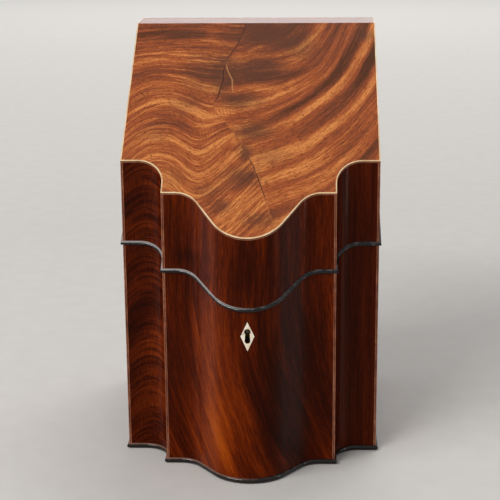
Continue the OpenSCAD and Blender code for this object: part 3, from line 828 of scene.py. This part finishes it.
# The keyhole: a round hole, and below it a slot that widens to a round foot
hole_r = 2.9 * mm
neck = 2.0 * mm
foot = 2.5 * mm
foot_drop = 8.2 * mm
bone_t = 1.6 * mm
hole_y = keyhole_z - diamond_z
lip = math.asin(neck / hole_r)
start = bm.verts.new((neck, hole_y - hole_r * math.cos(lip), 0))
end = sweep(bm, start, 0, hole_y, 2 * (math.pi - lip))
end = step_to(bm, end, -foot, hole_y - foot_drop)
end = sweep(bm, end, 0, hole_y - foot_drop, math.pi)
bm.edges.new((end, start))
bmesh.ops.triangle_fill(bm, edges=bm.edges[:], use_beauty=True)
for k in range(-5, 6):
    cut(bm, (k * mm, 0, 0), (1, 0, 0), clear=False)
bmesh.ops.rotate(bm, verts=bm.verts[:], matrix=Matrix.Rotation(math.pi / 2, 3, "X"))
for vert in bm.verts:
    vert.co.y = bow_r - math.sqrt(bow_r**2 - vert.co.x**2)
place = (0, corner_y - bow_out - proud, diamond_z)
bmesh.ops.translate(bm, verts=bm.verts[:], vec=place)
thicken(bm, (0, -1, 0), bone_t)
piece = make_piece("escutcheon_bone", bm, "case", "bone", bone)
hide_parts("escutcheon")


# Lock. A brass plate screwed behind the bow carries the lock's iron case, the bolt on its two
# stumps, the spring and the drill pin whose end shows in the keyhole.
def metal(name, dark, light, roughness):
    """Old metal with a skin of tarnish and fine scratches."""
    material, tree, shader, at = new_finish(name, roughness, metallic=1.0)
    skin = noise(tree, at, 160.0, 6.0, 0.6)
    colour = stained(tree, skin, (0.3, dark), (0.66, light))
    join(tree, colour, shader, "Base Color")
    join(tree, ease(tree, skin, 0.3, 0.7, roughness + 0.2, roughness - 0.08), shader, "Roughness")
    scratch = add(tree, "Mapping", Vector=at, Scale=(1, 1, 14)).outputs["Vector"]
    scratch = noise(tree, scratch, 500.0, 3.0)
    bump(tree, shader, scratch, 0.12, 0.0003)
    return material


brass = metal("brass", "8E6C34", "BE9A54", 0.34)
steel = metal("steel", "24211F", "635D56", 0.42)
for name in ("lock_plate", "lock_top_plate", "lock_screws"):
    finish_node(name, brass)
for name in ("lock_case", "lock_pin", "lock_spring", "lock_bolt"):
    finish_node(name, steel)


# Slotted board. Strips of veneered mahogany rest on fillets, parallel to the joint. Each slot is
# edged with a boxwood line and a black one.
board_wood = plain_mahogany(
    "board_wood", "572410", "84401D", "AC6430", 0.36, 0.3, from_side_to_side
)
strips = ("forks_front", "forks_rear", "knives_front", "knives_rear", "spoons")
for name in strips:
    finish_node("board_" + name, board_wood)

bow_t = 22 * mm
room_front_y = bow_t - bow_out
board_drop = 12 * mm
black_edge = 0.5 * mm
box_edge = 1.0 * mm
edge_t = 0.3 * mm
bm = bmesh.new()
# Each row of slots: its middle behind the room's front, a slot's width and length, pitch, number
for middle, width, length, pitch, count in (
    (17.15, 9, 13, 16, 4), (51, 9, 13, 16, 8), (93, 6, 28, 32, 6), (143, 6, 28, 32, 6),
    (206.7, 150, 22, 0, 1),
):
    for k in range(count):
        grid = bmesh.ops.create_grid(bm, x_segments=1, y_segments=1, size=0.5)["verts"]
        wide = width * mm + 2 * (black_edge + box_edge)
        long = length * mm + 2 * (black_edge + box_edge)
        bmesh.ops.scale(bm, verts=grid, vec=(wide, long, 1))
        x = (k - (count - 1) / 2) * pitch * mm
        bmesh.ops.translate(bm, verts=grid, vec=(x, room_front_y + middle * mm, 0))
        face = grid[0].link_faces[0]
        face.material_index = 1
        bmesh.ops.inset_individual(bm, faces=[face], thickness=black_edge)
        face.material_index = 0
        bmesh.ops.inset_individual(bm, faces=[face], thickness=box_edge)
        bmesh.ops.delete(bm, geom=[face], context="FACES")
lean = Matrix.Identity(4)
lean[2][1] = math.tan(joint_slope)
bmesh.ops.transform(bm, matrix=lean, verts=bm.verts[:])
lift = joint_h - board_drop + proud
set_in_frame(bm, lift)
thicken(bm, (0, 0, 1), edge_t)
make_piece("board_slot_lines", bm, "case", "boxwood", boxwood, black_line)


# Hinges. Two brass butts let into the rims of case and lid, each leaf with three screws, and a
# steel pin through the knuckles.
def soften(name, width):
    """Takes the sharpness off a metal piece's edges."""
    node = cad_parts[name]
    node.modifiers.new("weld", "WELD").merge_threshold = 1e-6
    bevel = node.modifiers.new("edges", "BEVEL")
    bevel.width = width
    bevel.segments = 2
    bevel.limit_method = "ANGLE"
    bevel.angle_limit = math.radians(40)


for word in ("left", "right"):
    for leaf in ("hinge_leaf_case_", "hinge_leaf_lid_"):
        finish_node(leaf + word, brass)
        soften(leaf + word, 0.15 * mm)
finish_node("hinge_pins", steel)
finish_node("hinge_screws_case", brass)
finish_node("hinge_screws_lid", brass)


# Lid carcase. Walls with upright grain, and a sloping top board and a level one behind it whose
# grain runs from side to side, all of the same plain wood.
for name in ("side_left", "side_right", "corner_left", "corner_right", "front"):
    finish_node("lid_" + name, carcase_wood)
top_wood = plain_mahogany(
    "top_wood", "32120A", "52220F", "74381C", 0.5, 0.1, from_side_to_side
)
finish_node("lid_top", top_wood)
finish_node("lid_level", top_wood)
finish_node("lid_back", back_wood)

# Lid veneers. The walls carry the same leaves as the case, cut off below the lines of the top.
top_h = 274.6 * mm
top_slope = math.radians(33.5)
level_d = 48 * mm
crease_y = side_d - level_d
back_h = top_h + crease_y * math.tan(top_slope)
top_line = 0.95 * mm
face_lines = 1.5 * mm
top_up = Vector((0, -math.sin(top_slope), math.cos(top_slope)))
up = Vector((0, 0, 1))


def trim_to_lid(bm):
    """Leaves the part between the joint and the lines round the top."""
    cut(bm, joint_point(rim_gap / 2 + hair), -joint_up)
    cut(bm, (0, corner_y, top_h - face_lines), top_up)
    cut(bm, (0, 0, back_h - face_lines), up)


bm = front_sheet()
trim_to_lid(bm)
thicken(bm, (0, -1, 0))
make_piece("lid_front_veneer", bm, "lid", "mahogany_front", front_veneer)
for side, word in ((left, "left"), (right, "right")):
    bm = cove_sheet(side)
    trim_to_lid(bm)
    thicken(bm, (side * 0.01, -1, 0))
    make_piece("lid_cove_veneer_" + word, bm, "lid", "mahogany_front", cove_veneer)
    bm = side_sheet(side)
    trim_to_lid(bm)
    cut(bm, hinge_axis, lid_chamfer)
    thicken(bm, (side, 0, 0))
    make_piece("lid_side_veneer_" + word, bm, "lid", "mahogany", side_veneer)
bm = arris_lines()
trim_to_lid(bm)
close_ends(bm)
piece = make_piece("lid_arris_lines", bm, "lid", "boxwood", toned_boxwood, black_line)
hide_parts("lid_corner_strings")


# Top veneer. One leaf of crotch mahogany, cut where the stem forks. On the right the growth
# rings run in wide arcs, on the left in hills, and between them stands the dark feather.
flame, tree, shader, at = polished_veneer("flame_mahogany")
# Millimetres, the slope foreshortened so that the rings are round
leaf = add(tree, "Mapping", Vector=at, Scale=(1000, 765, 0)).outputs["Vector"]
wide_bend = add(tree, "TexNoise", Vector=leaf, Scale=0.013, Detail=1.0).outputs["Color"]
small_bend = add(tree, "TexNoise", Vector=leaf, Scale=0.07, Detail=2.0).outputs["Color"]


def bend(tree, place, noise, reach):
    """Moves a place about by the noise, up to this far."""
    settings = {"operation": "MULTIPLY_ADD"}
    scale = (2 * reach, 2 * reach, 0)
    start = add(tree, "VectorMath", _0=place, _1=(-reach, -reach, 0)).outputs[0]
    return add(tree, "VectorMath", settings, _0=noise, _1=scale, _2=start).outputs[0]


grown = bend(tree, bend(tree, leaf, wide_bend, 5.0), small_bend, 1.1)
part = axes(tree, grown)


# On the right the rings are wide arcs, flatter towards the top of the leaf
away = add(tree, "VectorMath", {"operation": "SUBTRACT"}, _0=grown, _1=(-24, 113, 0)).outputs[0]
arcs = add(tree, "VectorMath", {"operation": "LENGTH"}, _0=away).outputs["Value"]
sides = axes(tree, away)
arcs_along = calc(tree, "MULTIPLY", calc(tree, "ARCTAN2", sides["Y"], sides["X"]), 150.0)
flatter = calc(tree, "MULTIPLY", calc(tree, "MAXIMUM", part["X"], 0.0), -0.36)
arcs = calc(tree, "MULTIPLY_ADD", flatter, ease(tree, arcs, 135.0, 92.0), arcs)
# On the left they rise over a hill, and further in they climb again towards the feather
steep = calc(tree, "MAXIMUM", calc(tree, "MULTIPLY_ADD", part["Y"], -0.00016, 0.0095), 0.001)
out = calc(tree, "ADD", calc(tree, "SMOOTH_MIN", part["X"], -48.0, 22.0), 82.0)
climb = calc(tree, "SMOOTH_MAX", calc(tree, "ADD", part["X"], 50.0), 0.0, 22.0)
climb = calc(tree, "MULTIPLY", climb, ease(tree, part["Y"], 0.0, -34.0, 0.0, -0.62))
hills = calc(tree, "MULTIPLY_ADD", calc(tree, "POWER", out, 2.0), steep, part["Y"])
hills = calc(tree, "ADD", hills, climb)
hills_along = calc(tree, "MULTIPLY_ADD", part["Y"], 0.4, part["X"])


# The feather wanders down the leaf: how far right of the middle it lies, from the front up
leaf_start = -100
leaf_length = 180
along_leaf = calc(tree, "MULTIPLY_ADD", part["Y"], 1 / leaf_length, -leaf_start / leaf_length)
feather_ramp = add(tree, "ValToRGB", Fac=along_leaf)
feather_line = feather_ramp.color_ramp
feather_line.elements[0].color = [0.5 + 23 / 100] * 3 + [1]
feather_line.elements[1].position = 1
feather_line.elements[1].color = [0.5 - 7 / 100] * 3 + [1]
for y, x in (
    (-74, 14), (-61, 9), (-51, 4), (-39, -5), (-27, -12), (-15, -24), (-8, -33), (-2, -36),
    (5, -32), (11, -30.5), (20, -27.5), (30, -28), (39, -26), (49, -19), (66, -11),
):
    feather_line.elements.new((y - leaf_start) / leaf_length).color = [0.5 + x / 100] * 3 + [1]
feather = add(tree, "SeparateColor", Color=feather_ramp.outputs["Color"]).outputs["Red"]
feather = calc(tree, "MULTIPLY_ADD", calc(tree, "SUBTRACT", 0.5, feather), 100.0, part["X"])
ragged = streaks(tree, part["X"], part["Y"], 6.0, 6.0, 3.0, 2.0)
ragged = calc(tree, "MULTIPLY_ADD", calc(tree, "SUBTRACT", ragged, 0.5), 7.0, feather)
is_arcs = ease(tree, ragged, -0.9, 0.9)
ring = between(tree, is_arcs, hills, arcs)
way = between(tree, is_arcs, hills_along, arcs_along)

fibre = streaks(tree, ring, way, 0.6, 8.0, 2.0)
figure = weighed(
    tree,
    (streaks(tree, ring, way, 13.0, 150.0, 1.0), 0.9),
    (streaks(tree, ring, way, 4.5, 90.0, 2.0, 5.0), 0.65),
    (streaks(tree, ring, way, 1.6, 40.0, 2.0, 9.0), 0.62),
    (fibre, 0.6),
)
figure = calc(tree, "ADD", figure, ease(tree, part["Y"], -95.0, 75.0, 0.15, -0.11))


def band(tree, value, middle, width, amount, total, mask=1.0):
    """Adds a soft band of colour to the total, where the value is near the middle."""
    near = ease(tree, off(tree, value, middle), 0.0, width, amount, 0.0)
    return calc(tree, "MULTIPLY_ADD", near, mask, total)


# Broad dark and light bands follow the rings on the right
rightward = ease(tree, part["X"], -5.0, 25.0)
leftward = ease(tree, part["X"], 30.0, 5.0)
for middle, width, amount, mask in (
    (78.0, 5.0, 0.26, is_arcs), (101.0, 6.0, 0.28, leftward), (121.0, 8.0, 0.2, is_arcs),
    (134.0, 8.0, -0.34, rightward), (144.0, 7.0, 0.24, is_arcs), (154.0, 8.0, -0.2, is_arcs),
    (165.0, 8.0, 0.16, rightward), (173.0, 7.0, -0.1, rightward), (204.0, 9.0, -0.24, is_arcs),
):
    mask = calc(tree, "MULTIPLY", is_arcs, mask)
    figure = band(tree, arcs, middle, width, amount, figure, mask)
for x, y, wide, deep, amount in (
    (-42, 58, 9, 7, 0.2), (-52, -6, 7, 5, 0.18), (-1, 0, 7, 4, 0.16), (-43, -22, 22, 14, 0.16),
    (-13, -33, 7, 6, 0.14), (64, -56, 56, 40, 0.13), (-95, -34, 26, 16, 0.06),
    (-20, -74, 16, 8, 0.12),
):
    figure = cloud(tree, grown, (x, y, 0), (wide, deep, 1), amount, figure)
# Short pale dashes cross the feather like the teeth of a comb
teeth = calc(tree, "MULTIPLY_ADD", part["Y"], 0.75, calc(tree, "MULTIPLY", part["X"], 2.0))
teeth = ease(tree, calc(tree, "SINE", teeth), 0.2, 0.9)
combed = cloud(tree, grown, (-26, -8, 0), (15, 6, 1), 0.22, 0.0)
combed = cloud(tree, grown, (-40, -26, 0), (14, 10, 1), 0.14, combed)
figure = calc(tree, "MULTIPLY_ADD", teeth, combed, figure)
# Greyish patches laid over the figure, strongest where the figure is dark
smoke = 0.0
for x, y, wide, deep, amount in (
    (14, 60, 66, 24, 1.15), (4, 29, 42, 18, 1.35), (-10, 2, 32, 11, 1.2), (-27, 26, 16, 30, 1.15),
    (4, -24, 27, 13, 1.25), (-4, -41, 12, 11, 1.1), (-6, -60, 30, 13, 0.95),
    (-34, -70, 22, 9, 0.5), (-24, -82, 16, 8, 0.8), (10, -92, 28, 10, 0.8),
    (-44, 26, 34, 30, 0.75), (-66, 60, 34, 14, 0.45), (-62, -2, 26, 12, 0.6),
    (-88, -26, 28, 10, 0.4), (20, -45, 30, 11, 0.6), (106, 58, 14, 9, 0.9), (44, 46, 34, 16, 0.6),
    (-70, -60, 30, 12, 0.35),
):
    smoke = cloud(tree, grown, (x, y, 0), (wide, deep, 1), amount, smoke)
# Fine pale lines run along the hills
contour = calc(tree, "SUBTRACT", streaks(tree, hills, hills_along, 5.0, 170.0, 1.0, 7.0), 0.5)
contour = ease(tree, calc(tree, "ABSOLUTE", contour), 0.0, 0.035, 0.22, 0.0)
figure = calc(tree, "MULTIPLY_ADD", contour, calc(tree, "SUBTRACT", 1.0, is_arcs), figure)
colour = stained(
    tree, figure,
    (0.1, "52301F"), (0.28, "713E29"), (0.4, "88472C"), (0.52, "9D512E"), (0.64, "B06134"),
    (0.82, "D58649"),
)
pore = ease(tree, streaks(tree, ring, way, 0.6, 3.4, 1.0, 3.0), 0.55, 0.66)
colour = blended(tree, calc(tree, "MULTIPLY", pore, 0.6), colour, tone("55290F"))
smoke = calc(tree, "MINIMUM", smoke, 1.0)
smoke = calc(tree, "MULTIPLY", smoke, calc(tree, "MULTIPLY_ADD", figure, -0.9, 1.3))
colour = blended(tree, calc(tree, "MINIMUM", smoke, 0.85), colour, tone("5A382A"))
# A pale vein and a dark crack run beside and along the feather
vein = calc(tree, "MULTIPLY_ADD", calc(tree, "SUBTRACT", part["Y"], 31.0), 0.475, feather)
vein = ease(tree, off(tree, vein, 2.0), 0.3, 0.8, 0.6, 0.0)
vein = calc(tree, "MULTIPLY", vein, ease(tree, part["Y"], 9.0, 13.0))
vein = calc(tree, "MULTIPLY", vein, ease(tree, part["Y"], 36.0, 31.0))
colour = blended(tree, vein, colour, tone("C98A58"))
crack = ease(tree, calc(tree, "ABSOLUTE", feather), 0.25, 0.75, 0.85, 0.0)
whole = noise(tree, leaf, 0.06, 1.0)
crack = calc(tree, "MULTIPLY", crack, ease(tree, whole, 0.35, 0.5))
swirl = calc(tree, "ABSOLUTE", calc(tree, "ADD", part["Y"], 12.0))
crack = calc(tree, "MULTIPLY", crack, ease(tree, swirl, 12.0, 17.0))
crack = calc(tree, "MULTIPLY", crack, ease(tree, part["Y"], -80.0, -72.0))
colour = blended(tree, crack, colour, tone("38201A"))
# An old scratch
scratch = add(
    tree, "Mapping", {"vector_type": "TEXTURE"}, Vector=leaf,
    Location=(-101.5, 6.5, 0), Rotation=(0, 0, math.radians(-33)),
).outputs["Vector"]
scratch = axes(tree, scratch)
length = ease(tree, calc(tree, "ABSOLUTE", scratch["X"]), 2.4, 3.2, 0.75, 0.0)
width = ease(tree, calc(tree, "ABSOLUTE", scratch["Y"]), 0.25, 0.6, 1.0, 0.0)
colour = blended(tree, calc(tree, "MULTIPLY", length, width), colour, tone("38201A"))
polish(tree, shader, at, colour, fibre)


def top_sheet(depth):
    """The plan of the top, this far inside its edge."""
    bm = bmesh.new()
    end = draw_half(bm, depth, side_d - depth)
    step_to(bm, end, 0, side_d - depth)
    add_left_half(bm)
    bmesh.ops.edgeloop_fill(bm, edges=bm.edges[:])
    return bm


rise = Matrix.Identity(4)
rise[2][1] = math.tan(top_slope)
bm = top_sheet(top_line)
cut(bm, (0, crease_y, 0), (0, 1, 0))
bmesh.ops.transform(bm, matrix=rise, verts=bm.verts[:])
set_in_frame(bm, top_h + proud / math.cos(top_slope))
thicken(bm, up)
make_piece("top_veneer", bm, "lid", "flame_mahogany", flame)

# Level strip. A narrow leaf with its grain from side to side, behind the sloping top.
level_veneer, tree, shader, at = new_finish("level_veneer", 0.35, 0.4, 0.09)
shader.inputs["Specular IOR Level"].default_value = 0.3
grain = across_and_along(tree, at, (0.05, 1, 1), warp=3.0)
curl = noise(tree, grain, 0.14, 5.0, 0.6)
lines = noise(tree, grain, 1.1, 3.0)
figure = calc(tree, "MULTIPLY_ADD", lines, 0.3, calc(tree, "MULTIPLY", curl, 0.8))
colour = stained(tree, figure, (0.35, "5E301E"), (0.55, "925030"), (0.75, "BC7440"))
polish(tree, shader, at, colour, lines, wavy=0.1)
bm = top_sheet(top_line)
cut(bm, (0, crease_y, 0), (0, -1, 0))
set_in_frame(bm, back_h + proud)
thicken(bm, up)
make_piece("level_strip_veneer", bm, "lid", "flame_mahogany", level_veneer)


# Lines round the top. A boxwood line lies in the arris of the top; under it, on the walls, run a
# black line and a thinner boxwood one.
bm = bmesh.new()
for depth, high, low, paint in (
    (top_line, proud, -0.2 * mm, 0), (0.8 * mm, -0.2 * mm, -0.8 * mm, 1),
    (0.8 * mm, -0.8 * mm, -face_lines, 2),
):
    rows = []
    faces_before = len(bm.faces)
    for row_depth, height in ((depth, high), (-proud, high), (-proud, low), (depth, low)):
        before = len(bm.edges)
        first = len(bm.verts)
        end = draw_half(bm, row_depth, side_d - row_depth)
        step_to(bm, end, 0, side_d - row_depth)
        bm.verts.ensure_lookup_table()
        bmesh.ops.translate(bm, verts=bm.verts[first:], vec=(0, 0, height))
        rows.append(bm.edges[before:])
    lay_rows(bm, rows, True)
    bm.faces.ensure_lookup_table()
    for face in bm.faces[faces_before:]:
        face.material_index = paint
    if high > 0:
        arris = rows[1]
bmesh.ops.bevel(
    bm, geom=arris, offset=0.12 * mm, segments=2, profile=0.5, affect="EDGES", material=-1
)
add_left_half(bm)
cut(bm, (0, crease_y, 0), (0, 1, 0), clear=False)
for vert in bm.verts:
    vert.co.z += top_h + min(vert.co.y, crease_y) * math.tan(top_slope)
set_in_frame(bm, 0)
bmesh.ops.recalc_face_normals(bm, faces=bm.faces[:])
piece = make_piece("top_lines", bm, "lid", "boxwood", boxwood, black_line, toned_boxwood)
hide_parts("lid_top_strings")


# Lid bead. A black half-round runs along the lid's lower edge and hides the joint. It stops short
# of the back, where the lid turns.
bead_h = 3.2 * mm
bead_low = joint_h + rim_gap / 2 / math.cos(joint_slope)
bead_foot = bead_low - corner_y * math.tan(joint_slope)
# The lid bead's painted highlight is a pale grey
lid_bead_black = ebonised(
    "lid_bead_black", "050404", "9C9490", joint_slope, bead_foot, bead_h
)
bm = half_round(bead_h, bead_low, joint_slope, side_d - hinge_in)
piece = make_piece("lid_bead_moulding", bm, "lid", "black_wood", lid_bead_black)
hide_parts("lid_bead")


# Link plate. The upper half of the lock: a brass plate in the lid's rim with two hooks, which
# drop into the lock for the bolt to catch.
finish_node("link_plate", brass)
finish_node("link_screws", brass)
